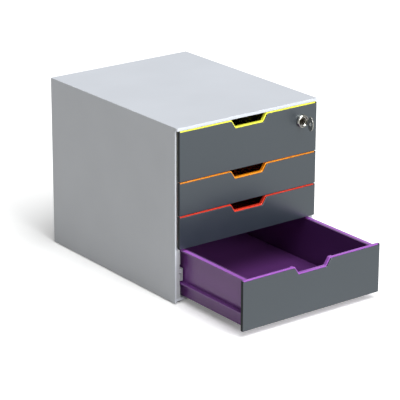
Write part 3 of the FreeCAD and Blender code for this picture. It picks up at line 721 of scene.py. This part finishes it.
def front_wall_surface(name):
    """A drawer's coloured front wall: its outline carried back over a rounded lip and in again.

    The lip's depth is greater along the finger notch, with a short ramp at each end of that part.
    """
    s = sizes()
    low, high = corners_of("front_cover_" + name)
    front = low[1] + s.cover_sheet
    inside = s.cover_flange + COVER_FIT
    plain = front_corners(high[0] - inside, low[2] + inside, high[2], 0)
    reach = s.notch_top / 2 + 2 * s.notch_round
    ramp = np.array([(reach + LIP_RAMP, high[2], 0), (reach, high[2], 0)])
    outer = np.concatenate([plain[:2], ramp, plain[2:6], ramp[::-1] * (-1, 1, 1), plain[6:]])
    deep = np.zeros(len(outer), bool)
    deep[3:9] = True
    rear = front + np.where(np.repeat(deep, LOOP_STEPS + 1), s.ledge_depth, s.lip_depth)
    thick, r = s.lip_reveal, LIP_ROUND
    run_in, run_back = quarter(3)
    grid = carried(outer, r * run_in, front + r * run_back)
    grid += carried(outer, r * run_in[::-1], rear - r * run_back[::-1, None])
    grid += carried(outer, thick - r * run_in, rear - r * run_back[:, None])
    grid += carried(outer, [thick], [front + s.cover_sheet])
    return np.array(grid)


def tray_surface(at):
    """A drawer's box: a wall profile carried round a rectangle with rounded rear corners.

    The profile goes from under the floor down the skirt, up the outside, round the rim flange, over
    the rim, down the inside and through a quarter circle into the floor. The flange stands out by
    the side's flange times the square of the normal's x, plus the rear's times the square of its y.
    In front there is none, and the wall ends below the notch, behind the coloured front wall.
    """
    s = sizes()
    front = at.face + s.cover_sheet + 0.1 * MM
    plan = np.array([(-TRAY_HALF, front, 0), (TRAY_HALF, front, 0),
                     (TRAY_HALF, at.rear, s.wall_round), (-TRAY_HALF, at.rear, s.wall_round)])
    steps = 8
    turn = np.linspace(0, math.pi / 2, steps + 1)
    cos, sin = np.cos(turn), np.sin(turn)
    quarters = ((-cos, -sin), (sin, -cos), (cos, sin), (-sin, cos))
    normal = np.concatenate([np.stack(pair, -1) for pair in quarters])
    ahead = normal[:, 1] < -1e-6
    behind = np.clip(normal[:, 1], 0, None)
    flange = np.where(ahead, 0, (FLANGE_TIP - TRAY_HALF) * normal[:, 0] ** 2 + s.rear_flange * behind**2)
    rim = at.rim - np.where(ahead, s.notch_depth + s.lip_reveal + 1.0 * MM - s.rim_drop, 0)
    rim_under = rim - s.flange_thickness
    run_in, run_back = quarter(4)
    r, big = FLANGE_ROUND, s.floor_round
    rounded = np.minimum(r, flange)

    def ring(inward, z, out=0.0):
        loop = loop_through(inset(plan, inward), steps)
        moved = loop + normal * np.broadcast_to(out, len(loop))[:, None]
        return np.column_stack([moved, np.broadcast_to(z, len(loop))])

    grid = [ring(s.tray_wall, at.under_floor), ring(s.tray_wall, at.foot),
            ring(0, at.foot), ring(0, rim_under)]
    grid += [ring(0, rim_under + r * b, flange - rounded * a) for a, b in zip(run_in, run_back)]
    grid += [ring(0, rim - r * b, flange - rounded * a) for a, b in zip(run_in[::-1], run_back[::-1])]
    grid.append(ring(0, rim, np.minimum(s.rim_inner, flange)))
    grid += [ring(s.tray_wall - r * a, rim - r * b) for a, b in zip(run_in, run_back)]
    grid += [ring(s.tray_wall + big * b, at.floor + big * a) for a, b in zip(run_in[::-1], run_back)]
    return np.array(grid)


def tray_runners(at):
    """A drawer's runner flanges with their stop nubs, and the ribs under its floor, as rounded bars."""
    s = sizes()
    front = at.face + 2 * s.cover_sheet
    thick = s.flange_thickness / 2
    bars = []
    for side in (-1, 1):
        x = on_side(side, TRAY_HALF - SUNK, FLANGE_TIP)
        bars.append(block((x[0], front - SUNK, at.runner - thick), (x[1], at.rear, at.runner + thick),
                          FLANGE_ROUND))
        x = on_side(side, TRAY_HALF - SUNK, FLANGE_TIP - 1.0 * MM)
        bars.append(block((x[0], at.rear - 16.0 * MM, at.runner),
                          (x[1], at.rear - 12.0 * MM, at.runner + 2.6 * MM), 0.4 * MM))
    rib_top = at.under_floor + SUNK
    bars.append(block((-RIB_HALF, front, at.foot), (RIB_HALF, at.rear - 1.0 * MM, rib_top), RIB_ROUND))
    rib_end = TRAY_HALF - 1.0 * MM
    for part in (0.25, 0.5, 0.75):
        y = front + part * (at.rear - front)
        bars.append(block((-rib_end, y - RIB_HALF, at.foot), (rib_end, y + RIB_HALF, rib_top), RIB_ROUND))
    return bars


class OBJECT_OT_drawer_box_trays(bpy.types.Operator):
    """Build the four coloured drawers with their rims, runner flanges and lips"""
    bl_idname = "object.drawer_box_trays"
    bl_label = "Coloured drawers"

    def execute(self, context):
        s = sizes()
        for name in DRAWERS:
            at = TrayLevels(name)
            surfaces = [front_wall_surface(name), tray_surface(at)] + tray_runners(at)
            piece = place("tray_" + name, name + "_drawer", tray_painted_shade(name), "drawer_" + name,
                          surfaces)
            lip = at.face + s.cover_sheet + s.lip_depth + 0.05 * MM
            rim = at.rim - 0.1 * MM
            x, y, z = face_vectors(piece, "center").T
            # The lip and the rim beyond its inner band get the painted highlight, the outer side walls get
            # painted light, and the rest keeps the painted shade.
            across = np.abs(x)
            rim_highlight_band = (across > TRAY_HALF + s.rim_inner) | (y > at.face + HIGHLIGHT_RIM_DEPTH)
            other_finish(piece, lip_painted_highlight(name), (y < lip) | (z > rim) & rim_highlight_band)
            outside = across > TRAY_HALF - 0.1 * MM
            other_finish(piece, outside_painted_light(name), outside & (y > lip) & (z < rim))
        return {"FINISHED"}


# --- Lock and key ---
def lock_surface():
    """The lock's bezel and barrel: a profile turned about the lock's axis, closed through its bore.

    The bezel has a straight side, a shoulder that is a quarter of an ellipse, and a hollow face
    whose profile is an arc that runs in steeply and flattens out at the bore. Behind the cover
    the barrel's x is held between its two flats.
    """
    s = sizes()
    outer, bore, barrel, rear = LOCK_RADIUS, s.plug_radius, s.barrel_radius, LOCK_HIGH[1]
    chamfer, edge = 0.4 * MM, 0.3 * MM
    t = np.linspace(0, math.pi / 2, 13)
    shoulder = np.stack([outer - s.bezel_brow * (1 - np.cos(t)),
                         FACE - s.bezel_height * (BEZEL_SIDE + (1 - BEZEL_SIDE) * np.sin(t))], -1)
    t = np.linspace(0, math.pi / 2, 11)[1:]
    start = outer - s.bezel_brow
    hollow = np.stack([start - (start - bore) * (1 - np.cos(t)),
                       FACE - s.bezel_height + s.bezel_dish * np.sin(t)], -1)
    back = [(bore, rear), (barrel - chamfer, rear), (barrel, rear - chamfer), (barrel, FACE + 0.01 * MM),
            (outer - edge, FACE), (outer, FACE - edge)]
    grid = lathe(np.concatenate([back, shoulder, hollow]))
    x, flat = grid[:, :, 0], s.barrel_flats / 2
    on_barrel = (grid[:, :, 1] > FACE) & (np.hypot(x - LOCK_X, grid[:, :, 2] - LOCK_Z) > bore + 0.2 * MM)
    grid[:, :, 0] = np.where(on_barrel, np.clip(x, LOCK_X - flat, LOCK_X + flat), x)
    return grid


class OBJECT_OT_drawer_box_lock(bpy.types.Operator):
    """Build the lock's hollow-faced bezel and its barrel"""
    bl_idname = "object.drawer_box_lock"
    bl_label = "Lock"

    def execute(self, context):
        place("lock_barrel", "top_drawer", chrome_finish(), "lock_housing",
              capped=[], joined=[lock_surface()], sharp_from=40.0)
        return {"FINISHED"}


def bow_surface():
    """The key's bow: points between its hole and its oval edge, carried round, with both edges rounded.

    P = hole(t) + m * (edge(t) - hole(t)), where m runs over the closed profile's width and x over
    its thickness.
    """
    s = sizes()
    half_y, half_z = s.bow_width / 2, (KEY_HIGH[2] - KEY_LOW[2]) / 2
    y0 = KEY_LOW[1] + half_y
    thick = (KEY_HIGH[0] - KEY_LOW[0]) / 2
    angle = np.linspace(0, 2 * math.pi, ROUND_STEPS, endpoint=False)
    edge = np.stack([y0 - half_y * np.cos(angle), LOCK_Z + half_z * np.sin(angle)], -1)
    hole_y = KEY_LOW[1] + s.bow_rim + s.bow_hole
    hole = np.stack([hole_y - s.bow_hole * np.cos(angle), LOCK_Z + s.bow_hole * np.sin(angle)], -1)
    r = 0.45 * MM
    run_in, run_back = quarter(4)
    out = r * np.concatenate([run_in, run_in[::-1]])
    across = np.concatenate([thick - r * run_back, r * run_back[::-1] - thick])
    span = np.linalg.norm(edge - hole, axis=1)
    m = np.concatenate([1 - out[:, None] / span, out[::-1, None] / span])
    x = LOCK_X + np.concatenate([across, across[::-1]])
    yz = hole + m[:, :, None] * (edge - hole)
    return np.concatenate([np.broadcast_to(x[:, None, None], (*m.shape, 1)), yz], -1)


def blade_surface():
    """The key's blade: a rounded rectangle carried along Y whose upper edge follows the row of cuts.

    The edge lies lower by the deepest of the cuts' c * (1 - |y - middle| / flank), and towards the
    tip by up to the bevel, where the lower edge also rises.
    """
    s = sizes()
    thick = (KEY_HIGH[0] - KEY_LOW[0]) / 2 - s.blade_set_in
    half = s.blade_height / 2
    start, tip = KEY_LOW[1] + s.bow_width * 0.72, KEY_HIGH[1]
    cuts = np.array([1.2, 2.0, 0.8, 1.6]) * MM
    pitch, flank, bevel, edge = 3.0 * MM, 1.3 * MM, 1.6 * MM, 0.25 * MM
    cuts_from = tip - 14.0 * MM
    y = np.concatenate([np.linspace(start, cuts_from, 4)[:-1], np.linspace(cuts_from, tip, 57)])
    middle = tip - pitch * np.arange(1, len(cuts) + 1)
    depth = (cuts * np.clip(1 - np.abs(y[:, None] - middle) / flank, 0, 1)).max(1)
    point = np.clip((y - (tip - bevel)) / bevel, 0, 1)
    top = LOCK_Z + half - np.maximum(depth, bevel * point)
    low = LOCK_Z - half + 1.2 * MM * point
    left, right = LOCK_X - thick, LOCK_X + thick
    rings = []
    for at, high, foot in zip(y, top, low):
        corners = np.array([(left, foot, edge), (right, foot, edge), (right, high, edge), (left, high, edge)])
        rings.append(in_plane(loop_through(corners, 2), at))
    return np.array(rings)


class OBJECT_OT_drawer_box_key(bpy.types.Operator):
    """Build the key with its oval bow and cut blade"""
    bl_idname = "object.drawer_box_key"
    bl_label = "Key"

    def execute(self, context):
        place("key_in_lock", "lock_core", chrome_finish(), "key",
              capped=[blade_surface()], joined=[bow_surface()], sharp_from=40.0)
        return {"FINISHED"}


# --- Carried-over pieces ---
class OBJECT_OT_drawer_box_finishes(bpy.types.Operator):
    """Give the base, back, runner panels, feet and small metal parts their finishes"""
    bl_idname = "object.drawer_box_finishes"
    bl_label = "Finishes of the other parts"

    def execute(self, context):
        f = finishes()
        grey = housing_finish()
        # The runner panels' darker grey is painted shade inside the housing.
        rail = satin_plastic("rail_grey", tuple(f.rail), f.housing_rough, 0.10)
        zinc = plated_metal("zinc_steel", tuple(f.zinc), 0.32, 0.15)
        chrome = chrome_finish()
        rubber = soft_rubber("foot_rubber", tuple(f.rubber))
        wanted = {grey: ("base_plate", "back_panel", "housing_shell"),
                  rail: ("runner_panel_left", "runner_panel_right"),
                  zinc: ("lock_catch", "catch_screws", "lock_nut", "lock_cam", "cam_screw"),
                  chrome: ("lock_housing", "key"),
                  core_painted_shade(): ("lock_plug",),
                  rubber: ("foot_front_left", "foot_front_right", "foot_rear_left", "foot_rear_right")}
        for name in DRAWERS:
            wanted[tray_painted_shade(name)] = ("drawer_" + name,)
        wanted[cover_finish()] = tuple("front_cover_" + name for name in DRAWERS)
        for material, nodes in wanted.items():
            for node in nodes:
                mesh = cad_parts[node].data
                mesh.materials.clear()
                mesh.materials.append(material)
        return {"FINISHED"}


# --- Studio ---
def seen_share(tree, mirrored):
    """1 for the camera's own rays, the share `mirrored` for rays off or through glossy faces, else 0."""
    new, link = tree.nodes.new, tree.links.new
    path = new("ShaderNodeLightPath")
    value = path.outputs["Is Camera Ray"]
    for kind in ("Is Glossy Ray", "Is Transmission Ray"):
        part, most = new("ShaderNodeMath"), new("ShaderNodeMath")
        part.operation, most.operation = "MULTIPLY", "MAXIMUM"
        part.inputs[1].default_value = mirrored
        link(path.outputs[kind], part.inputs[0])
        link(value, most.inputs[0])
        link(part.outputs[0], most.inputs[1])
        value = most.outputs[0]
    return value


def towards(azimuth, elevation):
    """The unit vector at an azimuth to the right of the front and an elevation, both in radians."""
    level = math.cos(elevation)
    return Vector((math.sin(azimuth) * level, -math.cos(azimuth) * level, math.sin(elevation)))


def far_lamp(name, azimuth, elevation, spread, level, colour):
    """A far, broad lamp: the angles and the spread are in degrees, and a level of 1 shows white as white."""
    data = bpy.data.lights.new(name, "SUN")
    data.energy = level * math.pi
    data.color = colour
    data.angle = math.radians(spread)
    piece = bpy.data.objects.new(name, data)
    bpy.context.scene.collection.objects.link(piece)
    back = towards(math.radians(azimuth), math.radians(elevation))
    piece.location = back * LAMP_DISTANCE
    piece.rotation_euler = back.to_track_quat("Z", "Y").to_euler()


def desk_top(studio):
    """A pale, matt floor, which the camera sees whiter than the light that it sends to the pieces."""
    reach = DESK_REACH
    mesh = bpy.data.meshes.new("desk_top")
    mesh.from_pydata([(-reach, -reach, 0), (reach, -reach, 0), (reach, reach, 0), (-reach, reach, 0)],
                     [], [(0, 1, 2, 3)])
    floor = bpy.data.objects.new("desk_top", mesh)
    bpy.context.scene.collection.objects.link(floor)
    material = bpy.data.materials.new("desk_white")
    material.use_nodes = True
    tree = material.node_tree
    tree.nodes.clear()
    new, link = tree.nodes.new, tree.links.new
    out = new("ShaderNodeOutputMaterial")
    lit = new("ShaderNodeBsdfDiffuse")
    paper = new("ShaderNodeMix")
    paper.data_type = "RGBA"
    paper.inputs["A"].default_value = DESK_LIGHTING
    paper.inputs["B"].default_value = DESK_SEEN
    link(seen_share(tree, 0.0), paper.inputs["Factor"])
    link(paper.outputs["Result"], lit.inputs["Color"])
    glow = new("ShaderNodeEmission")
    glow.inputs["Color"].default_value = WHITE
    seen = seen_share(tree, studio.floor_mirrored)
    level = new("ShaderNodeMath")
    level.operation = "MULTIPLY"
    level.inputs[1].default_value = studio.floor_glow
    link(seen, level.inputs[0])
    link(level.outputs[0], glow.inputs["Strength"])
    both = new("ShaderNodeAddShader")
    link(lit.outputs[0], both.inputs[0])
    link(glow.outputs[0], both.inputs[1])
    link(both.outputs[0], out.inputs["Surface"])
    mesh.materials.append(material)
    return floor


def studio_sky(studio):
    """White surroundings for the camera, a share of them for glossy faces, and an even, weaker light."""
    world = bpy.data.worlds.new("studio_sky")
    bpy.context.scene.world = world
    world.use_nodes = True
    tree = world.node_tree
    tree.nodes.clear()
    new, link = tree.nodes.new, tree.links.new
    out = new("ShaderNodeOutputWorld")
    sky = new("ShaderNodeBackground")
    sky.inputs["Color"].default_value = WHITE
    seen = seen_share(tree, studio.sky_mirrored)
    level = new("ShaderNodeMapRange")
    level.inputs["To Min"].default_value = studio.sky
    level.inputs["To Max"].default_value = 1.0
    link(seen, level.inputs["Value"])
    link(level.outputs["Result"], sky.inputs["Strength"])
    link(sky.outputs[0], out.inputs["Surface"])


def studio_camera(studio):
    """The camera, level from side to side and turned to the housing's middle."""
    back = towards(studio.azimuth, studio.elevation)
    right = Vector((math.cos(studio.azimuth), math.sin(studio.azimuth), 0))
    up = back.cross(right)
    where = Vector((0, 0, AIM_HEIGHT)) + back * studio.distance
    data = bpy.data.cameras.new("camera")
    data.sensor_width = 36.0
    data.lens = studio.focal
    data.shift_x, data.shift_y = studio.shift_x, studio.shift_y
    data.clip_start, data.clip_end = 0.05, 100.0
    camera = bpy.data.objects.new("camera", data)
    bpy.context.scene.collection.objects.link(camera)
    camera.matrix_world = Matrix((
        (right.x, up.x, back.x, where.x), (right.y, up.y, back.y, where.y),
        (right.z, up.z, back.z, where.z), (0, 0, 0, 1)))
    bpy.context.scene.camera = camera


class OBJECT_OT_drawer_box_stage(bpy.types.Operator):
    """Set up the floor, the even sky, the two lamps and the camera"""
    bl_idname = "object.drawer_box_stage"
    bl_label = "Studio"

    def execute(self, context):
        studio = context.scene.drawer_box_studio
        floor = desk_top(studio)
        studio_sky(studio)
        far_lamp("overhead_lamp", azimuth=3, elevation=66, spread=46, level=studio.overhead,
                 colour=(0.93, 0.965, 1.0))
        far_lamp("front_lamp", azimuth=6, elevation=19, spread=36, level=studio.front,
                 colour=(0.93, 0.97, 1.0))
        studio_camera(studio)
        context.scene.view_settings.view_transform = "Standard"
        return {"FINISHED"}


STEPS = (OBJECT_OT_drawer_box_finishes, OBJECT_OT_drawer_box_shell, OBJECT_OT_drawer_box_covers,
         OBJECT_OT_drawer_box_trays, OBJECT_OT_drawer_box_lock, OBJECT_OT_drawer_box_key,
         OBJECT_OT_drawer_box_stage)


class VIEW3D_PT_drawer_box(bpy.types.Panel):
    """Lists the drawer box's pieces and what can be changed on them"""
    bl_label = "Drawer Box"
    bl_idname = "VIEW3D_PT_drawer_box"
    bl_space_type = "VIEW_3D"
    bl_region_type = "UI"
    bl_category = "Drawer Box"

    def draw(self, context):
        for name in GROUPS:
            group = getattr(context.scene, name)
            box = self.layout.box()
            for key in group.bl_rna.properties.keys():
                if key not in ("rna_type", "name"):
                    box.prop(group, key)
        for step in STEPS:
            self.layout.operator(step.bl_idname)


CLASSES = (*GROUPS.values(), *STEPS, VIEW3D_PT_drawer_box)


def register():
    for cls in CLASSES:
        bpy.utils.register_class(cls)
    for name, group in GROUPS.items():
        setattr(bpy.types.Scene, name, bpy.props.PointerProperty(type=group))


def unregister():
    for name in GROUPS:
        delattr(bpy.types.Scene, name)
    for cls in reversed(CLASSES):
        bpy.utils.unregister_class(cls)


def main():
    register()
    for step in STEPS:
        group, call = step.bl_idname.split(".")
        getattr(getattr(bpy.ops, group), call)()


if __name__ == "__main__":
    main()
